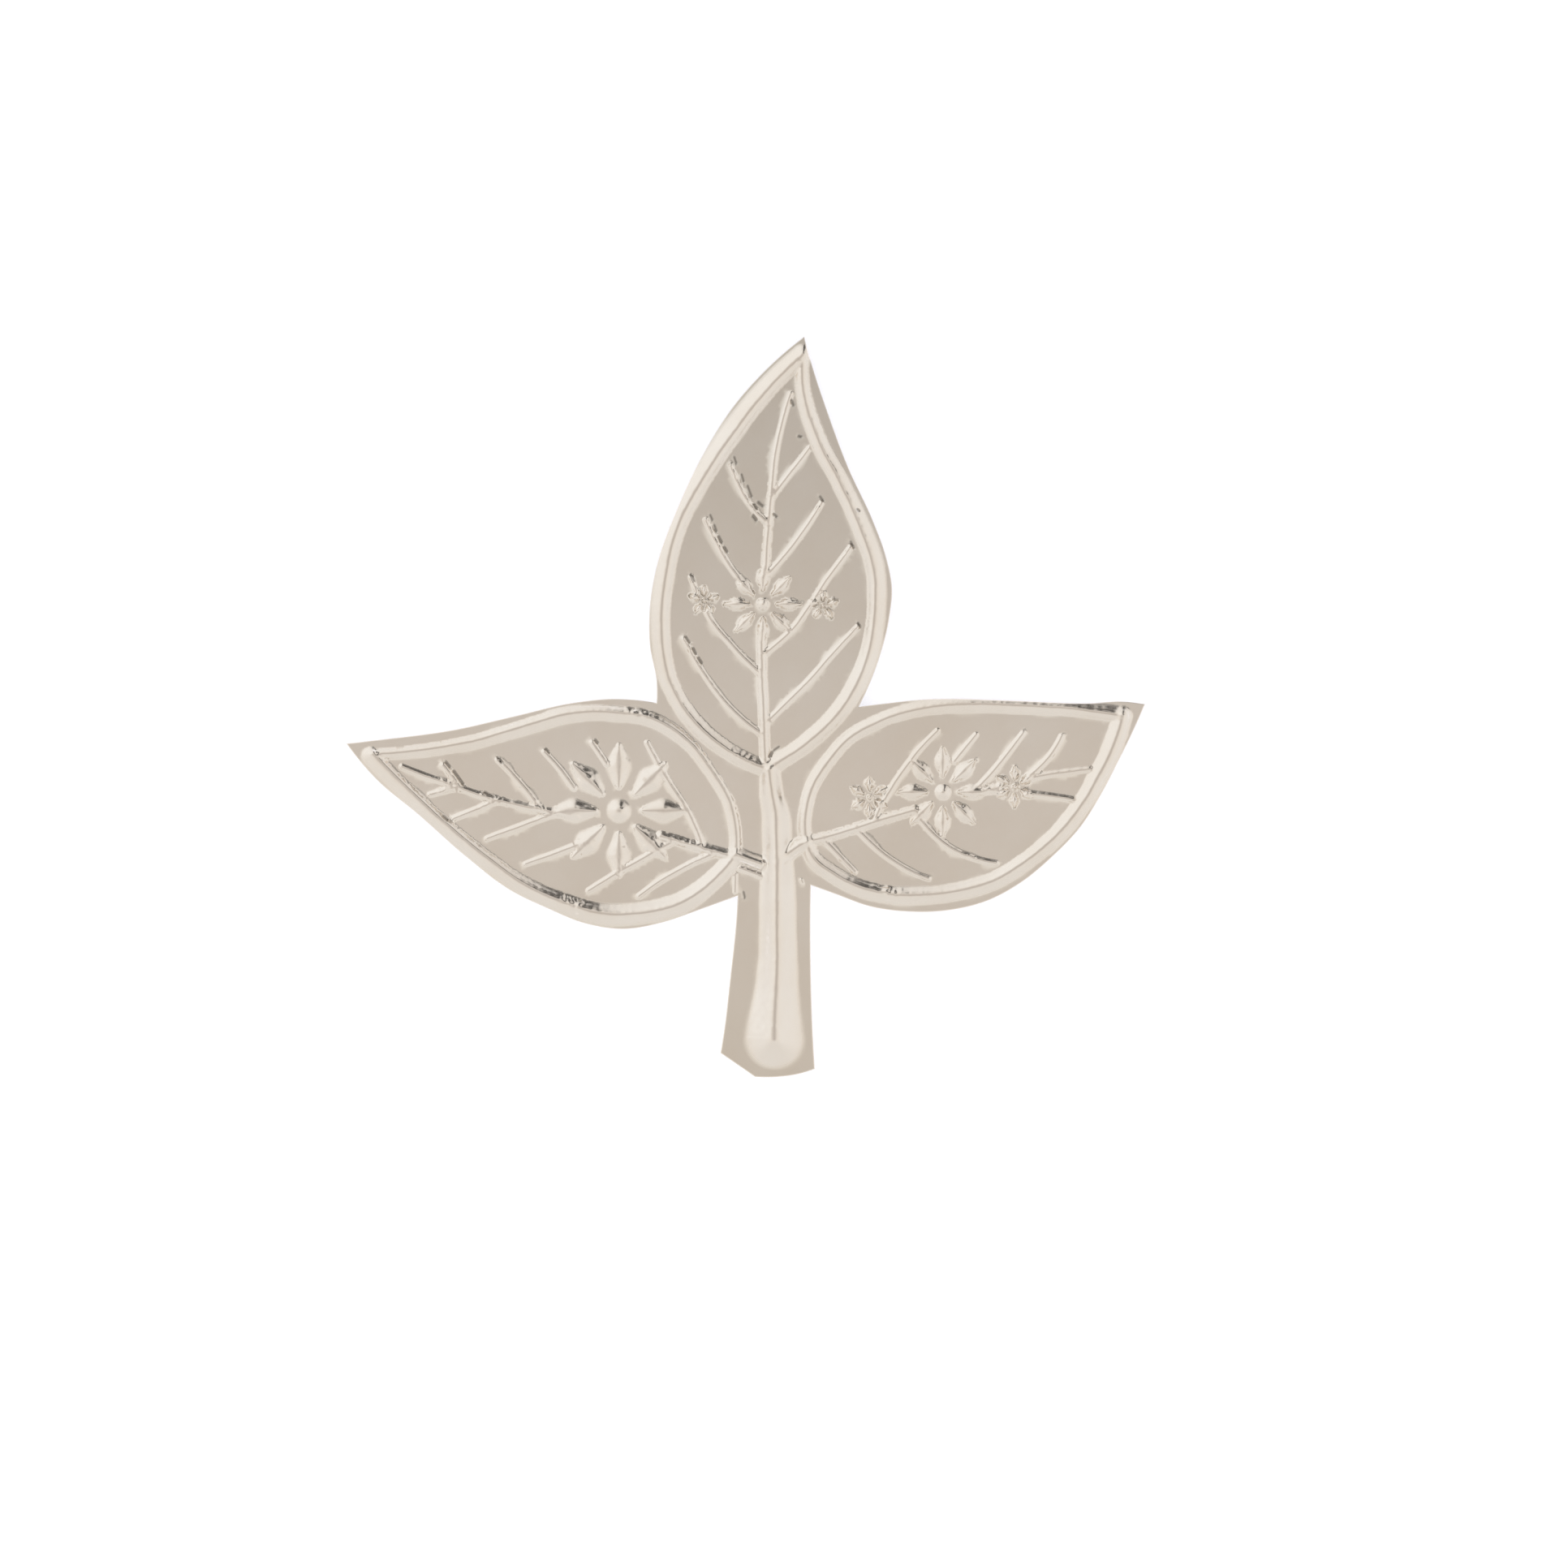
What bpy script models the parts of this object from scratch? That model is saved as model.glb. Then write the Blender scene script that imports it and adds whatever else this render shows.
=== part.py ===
"""Embossed silver bael leaf: three leaflets and a stem, pressed out of one thin sheet.

It lies on its back with its raised side up. X runs along its width, Y from the foot of the
stem to the tip of the middle leaflet, and Z up from the surface that it lies on.
"""

from collections import namedtuple
from math import pi, radians

import bmesh
import bpy
import numpy as np
from mathutils import Vector
from mathutils.geometry import delaunay_2d_cdt, interpolate_bezier

MM = 0.001                      # every size below is in millimetres

# The sheet that the leaf is pressed from
SHEET_THICKNESS = 0.6
OUTLINE_STEP = 1.5              # distance between points along the cut edge

# The raised ridges: half of a ridge's width at its foot, and its height over the sheet
RIM_STEEPNESS = 0.55            # a rim's height over its mean half width
MIDRIB_HALF_WIDTHS = (0.35, 0.47, 0.52)
MIDRIB_HEIGHTS = (0.2, 0.29, 0.33)
VEIN_HALF_WIDTHS = (0.32, 0.38, 0.39, 0.38)
VEIN_HEIGHTS = (0.21, 0.25, 0.25, 0.23)
STALK_HALF_WIDTHS = (0.7, 0.7)
STALK_HEIGHTS = (0.45, 0.5)
STEM_HEIGHTS = (0.6, 0.75, 0.9, 0.95, 1.05, 1.2)
PETAL_SHARES = (0.3, 1.0, 0.25)     # a petal's half width from its root to its tip, of its widest
PETAL_HEIGHTS = (0.25, 0.38, 0.22)
BEAD_HEIGHT = 0.4
BEAD_LENGTH = 0.04              # a bead is a ridge so short that it is round
RIDGE_STEP = 1.2                # distance between points along a ridge
VEIN_STEP = 1.0                 # and along a midrib or a vein
CAP_STEP = 0.9                  # and round its ends
CREST_RADIUS = 0.65             # how round the sheet is bent along a crest
SLOPE_POWER = 1.65              # 1 gives straight slopes, and more softens the ridge's foot
JOIN_POWER = 4                  # how sharply ridges that meet flow into each other

# The cut edge, clockwise from the tip of the middle leaflet, in stretches that meet in corners
OUTLINE = [
    # middle leaflet, right side
    [(4.4, 27.8), (5.1, 25.3), (6.1, 22.3), (7.7, 18.0), (9.6, 13.9), (10.6, 11.1), (11.0, 8.9),
     (10.8, 6.7), (10.1, 3.8), (8.5, 0.0)],
    # right leaflet, upper and then lower side
    [(8.5, 0.0), (10.8, 0.3), (13.8, 0.6), (19.9, 0.5), (25.9, 0.3), (28.4, 0.4), (30.0, 0.2)],
    [(30.0, 0.2), (29.4, -1.2), (28.1, -3.9), (26.7, -6.6), (25.1, -9.1), (23.0, -11.3),
     (20.7, -13.2), (18.1, -14.6), (15.2, -15.3), (12.2, -15.4), (9.3, -15.0), (6.8, -14.1),
     (4.9, -13.4)],
    # stem, down its right side, across its foot and up its left side
    [(4.9, -13.4), (4.9, -19.9), (5.0, -23.5), (5.2, -27.2)],
    [(5.2, -27.2), (3.9, -27.6), (2.4, -27.8), (0.7, -27.8)],
    [(0.7, -27.8), (-1.9, -26.0)],
    [(-1.9, -26.0), (-1.6, -24.1), (-1.2, -20.6), (-0.7, -15.8), (-0.6, -14.2)],
    # left leaflet, lower and then upper side
    [(-0.6, -14.2), (-3.3, -15.2), (-6.2, -16.2), (-9.1, -16.7), (-12.0, -16.3), (-14.8, -15.2),
     (-17.5, -13.9), (-21.1, -11.2), (-24.5, -8.2), (-27.9, -5.3), (-30.0, -2.75)],
    [(-30.0, -2.75), (-27.8, -2.5), (-21.8, -1.7), (-17.4, -0.7), (-13.0, 0.3), (-10.0, 0.6),
     (-6.7, 0.3)],
    # middle leaflet, left side
    [(-6.7, 0.3), (-6.7, 1.8), (-7.2, 4.6), (-7.2, 7.6), (-6.7, 10.6), (-5.2, 14.8),
     (-3.3, 18.8), (-0.9, 22.6), (1.1, 24.9), (4.4, 27.8)],
]

# The raised rims: each one's crest from its leaflet's tip, and spread along that, the half widths
# on the left and on the right of the crest
RIMS = [
    # middle leaflet
    ([(4.3, 26.4), (1.4, 23.5), (-1.0, 20.4), (-3.2, 17.1), (-5.0, 13.7), (-6.0, 9.8),
      (-6.3, 5.9), (-5.7, 2.0), (-3.6, -1.4), (-1.1, -3.4), (1.4, -4.6)],
     (0.75, 0.78, 0.78, 0.75, 0.75, 0.75), (0.95, 1.2, 1.05, 0.9, 0.85, 0.75)),
    ([(4.3, 26.4), (4.3, 24.0), (5.4, 20.2), (7.1, 16.8), (8.7, 13.2), (9.6, 10.4), (9.7, 7.4),
      (9.1, 3.6), (7.4, 0.1), (4.5, -2.8), (1.9, -4.5)],
     (0.6, 0.78, 0.97, 0.97, 0.78, 0.72), (0.6, 0.82, 0.72, 0.68, 0.88, 0.8)),
    # left leaflet
    ([(-27.9, -3.55), (-24.1, -3.2), (-20.2, -2.5), (-16.5, -1.4), (-13.3, -0.5), (-10.0, -0.4),
      (-6.7, -1.0), (-4.1, -2.8), (-2.4, -5.0), (-1.1, -7.3), (-0.7, -9.1), (-0.7, -11.0)],
     (0.5, 0.55, 0.6, 0.62, 0.46, 0.5), (0.6, 0.74, 0.84, 0.8, 0.74, 0.65)),
    ([(-27.9, -3.55), (-25.6, -5.9), (-22.9, -8.4), (-19.8, -11.0), (-16.6, -13.3), (-13.3, -14.8),
      (-10.9, -15.5), (-8.3, -15.5), (-4.8, -14.7), (-2.3, -12.9), (-0.7, -11.1)],
     (0.45, 0.52, 0.62, 0.85, 0.97, 0.8), (1.15, 1.15, 1.05, 1.0, 0.95, 0.8)),
    # right leaflet
    ([(28.3, -0.7), (23.9, -0.1), (20.2, 0.1), (16.5, 0.2), (12.9, -0.2), (10.3, -1.0),
      (7.9, -2.3), (6.1, -4.3), (5.0, -6.1), (4.5, -8.2), (4.6, -10.2)],
     (0.6, 0.72, 0.78, 0.58, 0.58, 0.55), (0.8, 0.8, 0.75, 0.7, 0.7, 0.65)),
    ([(28.3, -0.7), (27.6, -2.9), (26.5, -5.2), (25.2, -7.4), (23.4, -9.6), (21.0, -11.6),
      (18.2, -13.2), (15.9, -13.8), (13.5, -14.1), (10.6, -14.0), (8.5, -13.5), (6.7, -12.6),
      (5.1, -11.3), (4.6, -10.2)],
     (0.85, 0.8, 0.8, 0.86, 0.9, 0.75), (0.9, 0.87, 0.76, 0.74, 0.7, 0.7)),
]

# Each leaflet's midrib from its tip, and its side veins from their outer ends to the midrib
MIDRIBS = [
    [(3.4, 23.5), (2.5, 20.3), (1.8, 14.5), (1.5, 10.4), (1.2, 4.8), (1.3, 0.9), (1.5, -4.4)],
    [(-25.8, -4.5), (-22.6, -5.7), (-19.0, -6.9), (-15.5, -7.7), (-10.0, -8.7), (-5.6, -9.9),
     (-2.2, -10.9), (1.1, -11.7)],
    [(25.9, -4.7), (22.1, -5.2), (17.2, -6.5), (12.9, -7.7), (9.2, -8.8), (6.7, -9.6),
     (4.6, -10.1)],
]
SIDE_VEINS = [
    # middle leaflet
    [(-1.1, 18.1), (-0.6, 16.9), (0.1, 15.5), (1.7, 13.8)],
    [(-3.0, 14.0), (-2.3, 12.6), (-1.0, 10.3), (1.3, 7.9)],
    [(-4.1, 9.7), (-3.6, 8.5), (-2.5, 6.4), (-1.1, 4.7), (1.2, 2.4)],
    [(-4.6, 5.1), (-3.2, 2.6), (-2.0, 0.9), (-0.6, -0.6), (1.4, -2.2)],
    [(4.8, 19.4), (3.4, 17.6), (2.1, 15.9)],
    [(5.7, 15.3), (4.0, 12.7), (1.5, 9.8)],
    [(7.9, 12.0), (6.5, 10.1), (2.9, 5.2), (1.2, 3.8)],
    [(8.4, 6.0), (6.4, 3.8), (4.2, 1.4), (1.4, -1.3)],
    # left leaflet, upper and then lower side
    [(-22.7, -4.4), (-21.4, -6.1)],
    [(-18.6, -4.0), (-17.1, -5.5), (-15.4, -7.7)],
    [(-15.1, -3.4), (-14.0, -4.6), (-12.6, -6.5), (-11.2, -8.5)],
    [(-11.5, -2.7), (-9.7, -5.3), (-8.6, -6.8), (-7.4, -9.3)],
    [(-7.4, -2.7), (-5.7, -5.7), (-4.2, -8.1), (-3.2, -10.6)],
    [(-23.7, -6.6), (-21.5, -6.0)],
    [(-21.9, -8.4), (-18.5, -7.0)],
    [(-19.4, -9.9), (-14.0, -7.9)],
    [(-16.5, -11.8), (-13.0, -10.5), (-9.2, -8.8)],
    [(-11.8, -13.8), (-8.8, -12.0), (-5.2, -10.0)],
    [(-8.0, -14.2), (-5.6, -12.6), (-2.1, -10.9)],
    # right leaflet, upper and then lower side
    [(14.4, -1.8), (12.9, -3.4), (9.6, -8.7)],
    [(17.3, -2.1), (15.3, -4.6), (13.1, -7.6)],
    [(20.8, -2.0), (18.6, -4.8), (16.8, -6.7)],
    [(23.7, -2.2), (21.9, -4.7), (20.5, -5.7)],
    [(8.2, -12.4), (5.7, -9.8)],
    [(13.7, -12.9), (9.9, -10.7), (8.3, -9.1)],
    [(18.8, -11.7), (14.7, -10.1), (12.7, -7.8)],
    [(25.3, -7.1), (22.2, -6.6), (17.9, -6.3)],
]

# The stalks that carry the two side leaflets, and the stem down to its swollen foot, with its half
# widths towards -X and +X
STALKS = [
    [(-0.7, -11.1), (1.2, -11.8)],
    [(4.6, -10.1), (3.6, -10.7), (2.6, -11.7)],
]
STEM = [(1.75, -4.8), (2.0, -6.6), (2.25, -8.0), (2.3, -9.6), (2.35, -14.0), (2.35, -20.0),
        (2.2, -23.0), (2.15, -24.9)]
STEM_LEFT = (0.75, 1.1, 1.17, 1.12, 1.36, 1.45, 1.46, 1.5, 1.7, 2.0, 2.4)
STEM_RIGHT = (1.0, 0.9, 1.3, 1.3, 1.5, 1.55, 1.58, 1.68, 1.8, 2.08, 2.5)

# Small folds where the side leaflets meet the stem: crest, height and half width
FOLDS = [
    ([(-0.75, -12.6), (-0.8, -13.9)], 0.16, 0.27),
    ([(4.2, -13.0), (4.3, -13.2)], 0.12, 0.22),
    ([(-0.4, -12.1), (1.2, -12.7)], 0.2, 0.36),
]

# The flowers on the leaflets: centre, radius and number of petals
FLOWERS = [
    ((-9.5, -7.8), 5.2, 8),
    ((1.3, 7.7), 3.0, 8),
    ((-3.1, 8.0), 1.2, 5),
    ((5.8, 7.6), 1.2, 5),
    ((14.8, -6.4), 3.5, 8),
    ((9.3, -6.8), 1.6, 6),
    ((20.2, -6.0), 1.6, 6),
]
FLOWER_HUB = 0.2                # radius of a flower's central bead, as a share of the flower's
PETAL_START = 0.34              # where its petals begin, as a share of the flower's radius
PETAL_ROOM = 0.8                # how much of the room round the flower the petals fill
FLOWER_COVER = 0.7              # veins and midribs end in it this far out from its centre

# How the sheet is divided into triangles
CONTOURS = (0.5, 1.02)          # contours round a tall ridge, as shares of its half width; the last
                                # is just off its foot, so that the ground is level
TALL_RIDGE = 0.4                # a ridge no higher than this has only the contour at its foot
CONTOUR_SLACK = 0.15            # a contour point that folds back this far towards the crest is left out
BURIED = 0.7                    # and so is one this deep under another ridge
EDGE_MARGIN = 0.12              # and one this close to the cut edge
MERGE = 0.03                    # points closer than this become one

SILVER_COLOUR = (0.95, 0.93, 0.88, 1.0)
SILVER_ROUGHNESS = 0.3

Ridge = namedtuple("Ridge", "crest left right heights")


def smooth_line(points, step):
    """A smooth line through the points, with a vertex about every step of the way."""
    points = [Vector(point) for point in points]
    chords = [b - a for a, b in zip(points, points[1:])]
    bends = [(a / a.length_squared + b / b.length_squared).normalized()
             for a, b in zip(chords, chords[1:])]
    if not bends:
        bends = [chords[0].normalized()]
    first, last = chords[0].normalized(), chords[-1].normalized()
    tangents = [2 * bends[0].dot(first) * first - bends[0]] + bends
    if len(tangents) < len(points):
        tangents.append(2 * bends[-1].dot(last) * last - bends[-1])
    line = [points[0]]
    for i, chord in enumerate(chords):
        reach = chord.length / 3
        count = max(1, round(chord.length / step)) + 1
        line += interpolate_bezier(points[i], points[i] + tangents[i] * reach,
                                   points[i + 1] - tangents[i + 1] * reach, points[i + 1], count)[1:]
    return np.array([point.to_2d() for point in line])


def ridge(points, step, heights, left, right=None):
    """A ridge whose heights and half widths are spread evenly along its crest."""
    crest = smooth_line(points, step)
    lengths = np.linalg.norm(np.diff(crest, axis=0), axis=1)
    along = np.concatenate(([0.0], np.cumsum(lengths))) / lengths.sum()
    return Ridge(crest, *(np.interp(along, np.linspace(0, 1, len(sizes)), sizes)
                          for sizes in (left, right or left, heights)))


def flower(centre, radius, petals):
    """A bead with raised petals round it."""
    hub = FLOWER_HUB * radius
    bead = [Vector(centre), Vector(centre) + Vector((BEAD_LENGTH, 0.0))]
    ridges = [ridge(bead, BEAD_LENGTH, (BEAD_HEIGHT, BEAD_HEIGHT), (hub, hub))]
    widest = PETAL_ROOM * pi * radius * (PETAL_START + 1) / 2 / petals
    half_widths = [widest * share for share in PETAL_SHARES]
    end = 1 - half_widths[-1] / radius
    for angle in np.arange(petals) * 2 * pi / petals + radians(90):
        out = Vector((np.cos(angle), np.sin(angle)))
        petal = [Vector(centre) + out * radius * share for share in (PETAL_START, end)]
        ridges.append(ridge(petal, (end - PETAL_START) * radius / 2, PETAL_HEIGHTS, half_widths))
    return ridges


def outside_flowers(one):
    """The stretches of a ridge that the flowers don't cover."""
    clear = np.ones(len(one.crest), bool)
    for centre, radius, _ in FLOWERS:
        clear &= np.linalg.norm(one.crest - np.array(centre), axis=1) > FLOWER_COVER * radius
    ends = np.flatnonzero(np.diff(np.concatenate(([False], clear, [False])).astype(int)))
    return [Ridge(*(values[a:b] for values in one)) for a, b in zip(ends[::2], ends[1::2]) if b - a > 1]


def all_ridges():
    """Every ridge that is pressed into the sheet."""
    ridges = []
    for points, left, right in RIMS:
        heights = [RIM_STEEPNESS * (a + b) / 2 for a, b in zip(left, right)]
        ridges.append(ridge(points, RIDGE_STEP, heights, left, right))
    for points in MIDRIBS:
        ridges += outside_flowers(ridge(points, VEIN_STEP, MIDRIB_HEIGHTS, MIDRIB_HALF_WIDTHS))
    for points in SIDE_VEINS:
        ridges += outside_flowers(ridge(points, VEIN_STEP, VEIN_HEIGHTS, VEIN_HALF_WIDTHS))
    ridges += [ridge(points, RIDGE_STEP, STALK_HEIGHTS, STALK_HALF_WIDTHS) for points in STALKS]
    ridges.append(ridge(STEM, RIDGE_STEP, STEM_HEIGHTS, STEM_RIGHT, STEM_LEFT))
    for points, height, half_width in FOLDS:
        ridges.append(ridge(points, RIDGE_STEP, (height, height), (half_width, half_width)))
    for centre, radius, petals in FLOWERS:
        ridges += flower(centre, radius, petals)
    return ridges


def across(points, one):
    """How far out over a ridge each point lies (0 on the crest, 1 at the foot), and the ridge's half
    width and height there."""
    run = np.diff(one.crest, axis=0)
    offset = points[:, None] - one.crest[:-1]
    share = np.clip((offset * run).sum(2) / (run * run).sum(1), 0, 1)
    offset -= share[..., None] * run
    distance = np.linalg.norm(offset, axis=2)
    turn = run[:, 0] * offset[..., 1] - run[:, 1] * offset[..., 0]
    lean = turn / (np.linalg.norm(run, axis=1) * distance + 1e-9)
    left, right, height = (sizes[:-1] + share * np.diff(sizes) for sizes in one[1:])
    half_width = (left + right + lean * (left - right)) / 2
    outward = distance / half_width
    nearest = outward.argmin(1)
    rows = np.arange(len(points))
    return outward[rows, nearest], half_width[rows, nearest], height[rows, nearest]


def bent(distance):
    """How far a sheet that is bent round over a crest falls at this distance from it."""
    return np.hypot(distance, CREST_RADIUS) - CREST_RADIUS


def relief(points, ridges):
    """The height of the pressed surface over the flat sheet."""
    total = np.zeros(len(points))
    for one in ridges:
        outward, half_width, height = across(points, one)
        fallen = bent(outward * half_width) / bent(half_width)
        raised = height * np.clip(1 - fallen, 0, None) ** SLOPE_POWER
        total += raised ** JOIN_POWER
    return total ** (1 / JOIN_POWER)


def loop_round(one, share):
    """A closed loop round a ridge, at this share of its half width from its crest."""
    along = np.gradient(one.crest, axis=0)
    along /= np.linalg.norm(along, axis=1)[:, None]
    side = np.column_stack((-along[:, 1], along[:, 0]))

    def cap(end, turn):
        reach = share * (one.left[end] + one.right[end]) / 2
        angles = np.linspace(0, pi, max(3, round(pi * reach / CAP_STEP)) + 1)[1:-1, None]
        return one.crest[end] + turn * reach * (np.cos(angles) * side[end] + np.sin(angles) * along[end])

    left = one.crest + side * share * one.left[:, None]
    right = one.crest - side * share * one.right[:, None]
    return np.vstack((left, cap(-1, 1), right[::-1], cap(0, -1)))


def inside(points, outline, margin):
    """Which points lie within the outline, further than the margin from it."""
    start, end = outline, np.roll(outline, -1, axis=0)
    unit = np.ones(len(outline) + 1)
    edge = Ridge(np.vstack((outline, outline[:1])), unit, unit, unit)
    x, y = points[:, 0, None], points[:, 1, None]
    spans = (start[:, 1] > y) != (end[:, 1] > y)
    with np.errstate(divide="ignore", invalid="ignore"):
        crossing = start[:, 0] + (y - start[:, 1]) / (end[:, 1] - start[:, 1]) * (end[:, 0] - start[:, 0])
    odd = (spans & (x < crossing)).sum(1) % 2 == 1
    return odd & (across(points, edge)[0] > margin)


def plan_of_lines(outline, ridges):
    """The points and edges that the sheet's triangles keep to: its edge, and each ridge's contours."""
    points = [outline]
    edges = [(i, (i + 1) % len(outline)) for i in range(len(outline))]
    total = len(outline)

    def add(line, keep, closed):
        nonlocal total
        place = np.where(keep, total + np.cumsum(keep) - 1, -1)
        pairs = list(zip(place, place[1:])) + ([(place[-1], place[0])] if closed else [])
        edges.extend((int(a), int(b)) for a, b in pairs if a >= 0 and b >= 0)
        points.append(line[keep])
        total += int(keep.sum())

    for i, one in enumerate(ridges):
        add(one.crest, inside(one.crest, outline, EDGE_MARGIN), closed=False)
        for share in CONTOURS if one.heights.max() > TALL_RIDGE else CONTOURS[-1:]:
            loop = loop_round(one, share)
            keep = inside(loop, outline, EDGE_MARGIN) & (across(loop, one)[0] > share - CONTOUR_SLACK)
            for other in ridges[:i] + ridges[i + 1:]:
                keep &= across(loop, other)[0] > BURIED
            add(loop, keep, closed=True)
    return np.vstack(points), edges


def pressed_sheet():
    """The mesh of the leaf: the relief as a surface, then carried up by the sheet's thickness."""
    outline = np.vstack([smooth_line(stretch, OUTLINE_STEP)[:-1] for stretch in OUTLINE])
    ridges = all_ridges()
    points, edges = plan_of_lines(outline, ridges)
    only_inside = 1
    flat, _, faces, *_ = delaunay_2d_cdt([Vector(point) for point in points], edges, [], only_inside, MERGE)
    heights = relief(np.array([point.to_tuple() for point in flat]), ridges)

    bm = bmesh.new()
    verts = [bm.verts.new((x * MM, y * MM, z * MM)) for (x, y), z in zip(flat, heights)]
    for face in faces:
        bm.faces.new([verts[i] for i in face])
    raised = bmesh.ops.extrude_face_region(bm, geom=bm.faces[:])["geom"]
    top = [item for item in raised if isinstance(item, bmesh.types.BMVert)]
    bmesh.ops.translate(bm, verts=top, vec=(0, 0, SHEET_THICKNESS * MM))
    bmesh.ops.recalc_face_normals(bm, faces=bm.faces[:])
    mesh = bpy.data.meshes.new("silver_leaf")
    bm.to_mesh(mesh)
    bm.free()
    return mesh


def silver():
    """Polished silver."""
    material = bpy.data.materials.new("silver")
    material.use_nodes = True
    shader = material.node_tree.nodes["Principled BSDF"]
    shader.inputs["Base Color"].default_value = SILVER_COLOUR
    shader.inputs["Metallic"].default_value = 1.0
    shader.inputs["Roughness"].default_value = SILVER_ROUGHNESS
    return material


def main():
    for old in list(bpy.data.objects):
        bpy.data.objects.remove(old)
    leaf = bpy.data.objects.new("silver_leaf", pressed_sheet())
    leaf.data.materials.append(silver())
    leaf.data.shade_smooth()
    leaf.data.set_sharp_from_angle(angle=radians(50))
    collection = bpy.data.collections.new("bael_leaf")
    bpy.context.scene.collection.children.link(collection)
    collection.objects.link(leaf)


main()
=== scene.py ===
"""Embossed silver bael leaf: the finish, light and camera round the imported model.

The leaf is one thin sheet of silver. Its ridges are pressed up from below, so the surface is a
height over a flat plan, worked out from the crests and widths of the ridges. Every size is in
millimetres until it is multiplied by MM.
"""

from collections import namedtuple
from math import cos, pi, radians, sin

import bpy
import numpy as np
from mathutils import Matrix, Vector, noise
from mathutils.geometry import delaunay_2d_cdt, interpolate_bezier


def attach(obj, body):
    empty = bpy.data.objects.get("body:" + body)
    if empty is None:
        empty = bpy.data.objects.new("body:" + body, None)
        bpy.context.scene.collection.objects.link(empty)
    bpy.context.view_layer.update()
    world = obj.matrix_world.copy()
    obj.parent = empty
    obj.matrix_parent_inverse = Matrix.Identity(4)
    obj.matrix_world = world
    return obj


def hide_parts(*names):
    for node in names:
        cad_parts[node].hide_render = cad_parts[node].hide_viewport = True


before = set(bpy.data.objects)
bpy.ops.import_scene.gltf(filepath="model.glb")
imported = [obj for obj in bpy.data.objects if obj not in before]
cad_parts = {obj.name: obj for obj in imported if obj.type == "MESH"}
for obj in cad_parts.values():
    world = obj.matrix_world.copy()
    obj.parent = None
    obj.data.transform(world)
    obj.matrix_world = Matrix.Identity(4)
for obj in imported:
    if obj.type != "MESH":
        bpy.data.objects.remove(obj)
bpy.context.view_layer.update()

MM = 0.001

# The sheet
SHEET_THICKNESS = 0.6
EDGE_ROUND = 0.1                # radius of the trimmed edge, worn round by handling

# The raised ridges: half of a ridge's width at its foot, and its height over the sheet
RIM_STEEPNESS = 0.55            # a rim's height over its mean half width
MIDRIB_HALF_WIDTHS = (0.35, 0.47, 0.52)
MIDRIB_HEIGHTS = (0.2, 0.29, 0.33)
VEIN_HALF_WIDTHS = (0.32, 0.38, 0.39, 0.38)
VEIN_HEIGHTS = (0.21, 0.25, 0.25, 0.23)
STALK_HALF_WIDTHS = (0.7, 0.7)
STALK_HEIGHTS = (0.45, 0.5)
STEM_HEIGHTS = (0.6, 0.75, 0.9, 0.95, 1.05, 1.2)
PETAL_SHARES = (0.3, 1.0, 0.25)     # a petal's half width from its root to its tip, of its widest
PETAL_HEIGHTS = (0.25, 0.38, 0.22)
BEAD_HEIGHT = 0.4
BEAD_LENGTH = 0.04              # a bead is a ridge so short that it is round
CREST_RADIUS = 0.65             # how round the sheet is bent along a crest
SLOPE_POWER = 1.65              # 1 gives straight slopes, and more softens the ridge's foot
JOIN_POWER = 4                  # how sharply ridges that meet flow into each other

# How finely the sheet is divided
EDGE_STEP = 0.22                # along the trimmed edge
EDGE_DEPTHS = (0.0, 0.3 * EDGE_ROUND, EDGE_ROUND)   # loops follow the edge this far in from it
MITRE_LIMIT = 0.35              # a corner moves in by 1 / this times a loop's depth at the most
RIDGE_STEP = 0.16               # along the ridges, and between points on them
END_SEGMENTS = 3                # at the least, round each end of a ridge
CREST_PART = 24                 # segments of a crest that are looked at together
SHOULDER = 0.15                 # a line follows each crest this far down its slopes,
SHOULDER_SHARE = 0.45           # or this share of their width if that is less
OWN_FOOT = 0.95                 # a foot line further in than this over its own ridge is left out
BURIED = 0.7                    # and so is one this deep under another ridge
FINE_BEYOND = 0.5               # the fine grid goes on for this many steps past a ridge's foot
GROUND_STEP = 2                 # the level ground has one point for this many on the ridges
CLEARANCE = 0.08                # a filling point this near a ridge's line is left out
MERGE = 0.01                    # points this near to each other become one
SLOPE_PROBE = 0.01              # a slope is the rise over this distance
TINY = 1e-9                     # keeps a division from being one by zero

# Unevenness of the pressed sheet, each kind with the seed of its waves
GROUND_WAVE = 0.02              # height of the slow waves in the ground
GROUND_WAVE_LENGTH = 7.0
GROUND_WAVE_SEED = 9.2
LINE_WOBBLE = 0.035             # the punched lines stray this far from their course
LINE_WOBBLE_LENGTH = 1.8
LINE_WOBBLE_SEEDS = (3.7, 8.1)  # along X and along Y
RIDGE_DENTS = 0.012             # depth of the small dents along the ridges
RIDGE_DENT_SIZE = 0.35
RIDGE_DENT_SEED = 5.3
DENTED_FROM = 0.15              # relief this high or higher has them in full

# The camera looks straight down. The photograph's frame, at the leaf, is this wide.
FRAME_WIDTH = 117.85
FRAME_CENTRE = (2.88, -5.8)     # where its middle falls on the leaf
CAMERA_HEIGHT = 500.0
SENSOR_WIDTH = 36.0

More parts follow.
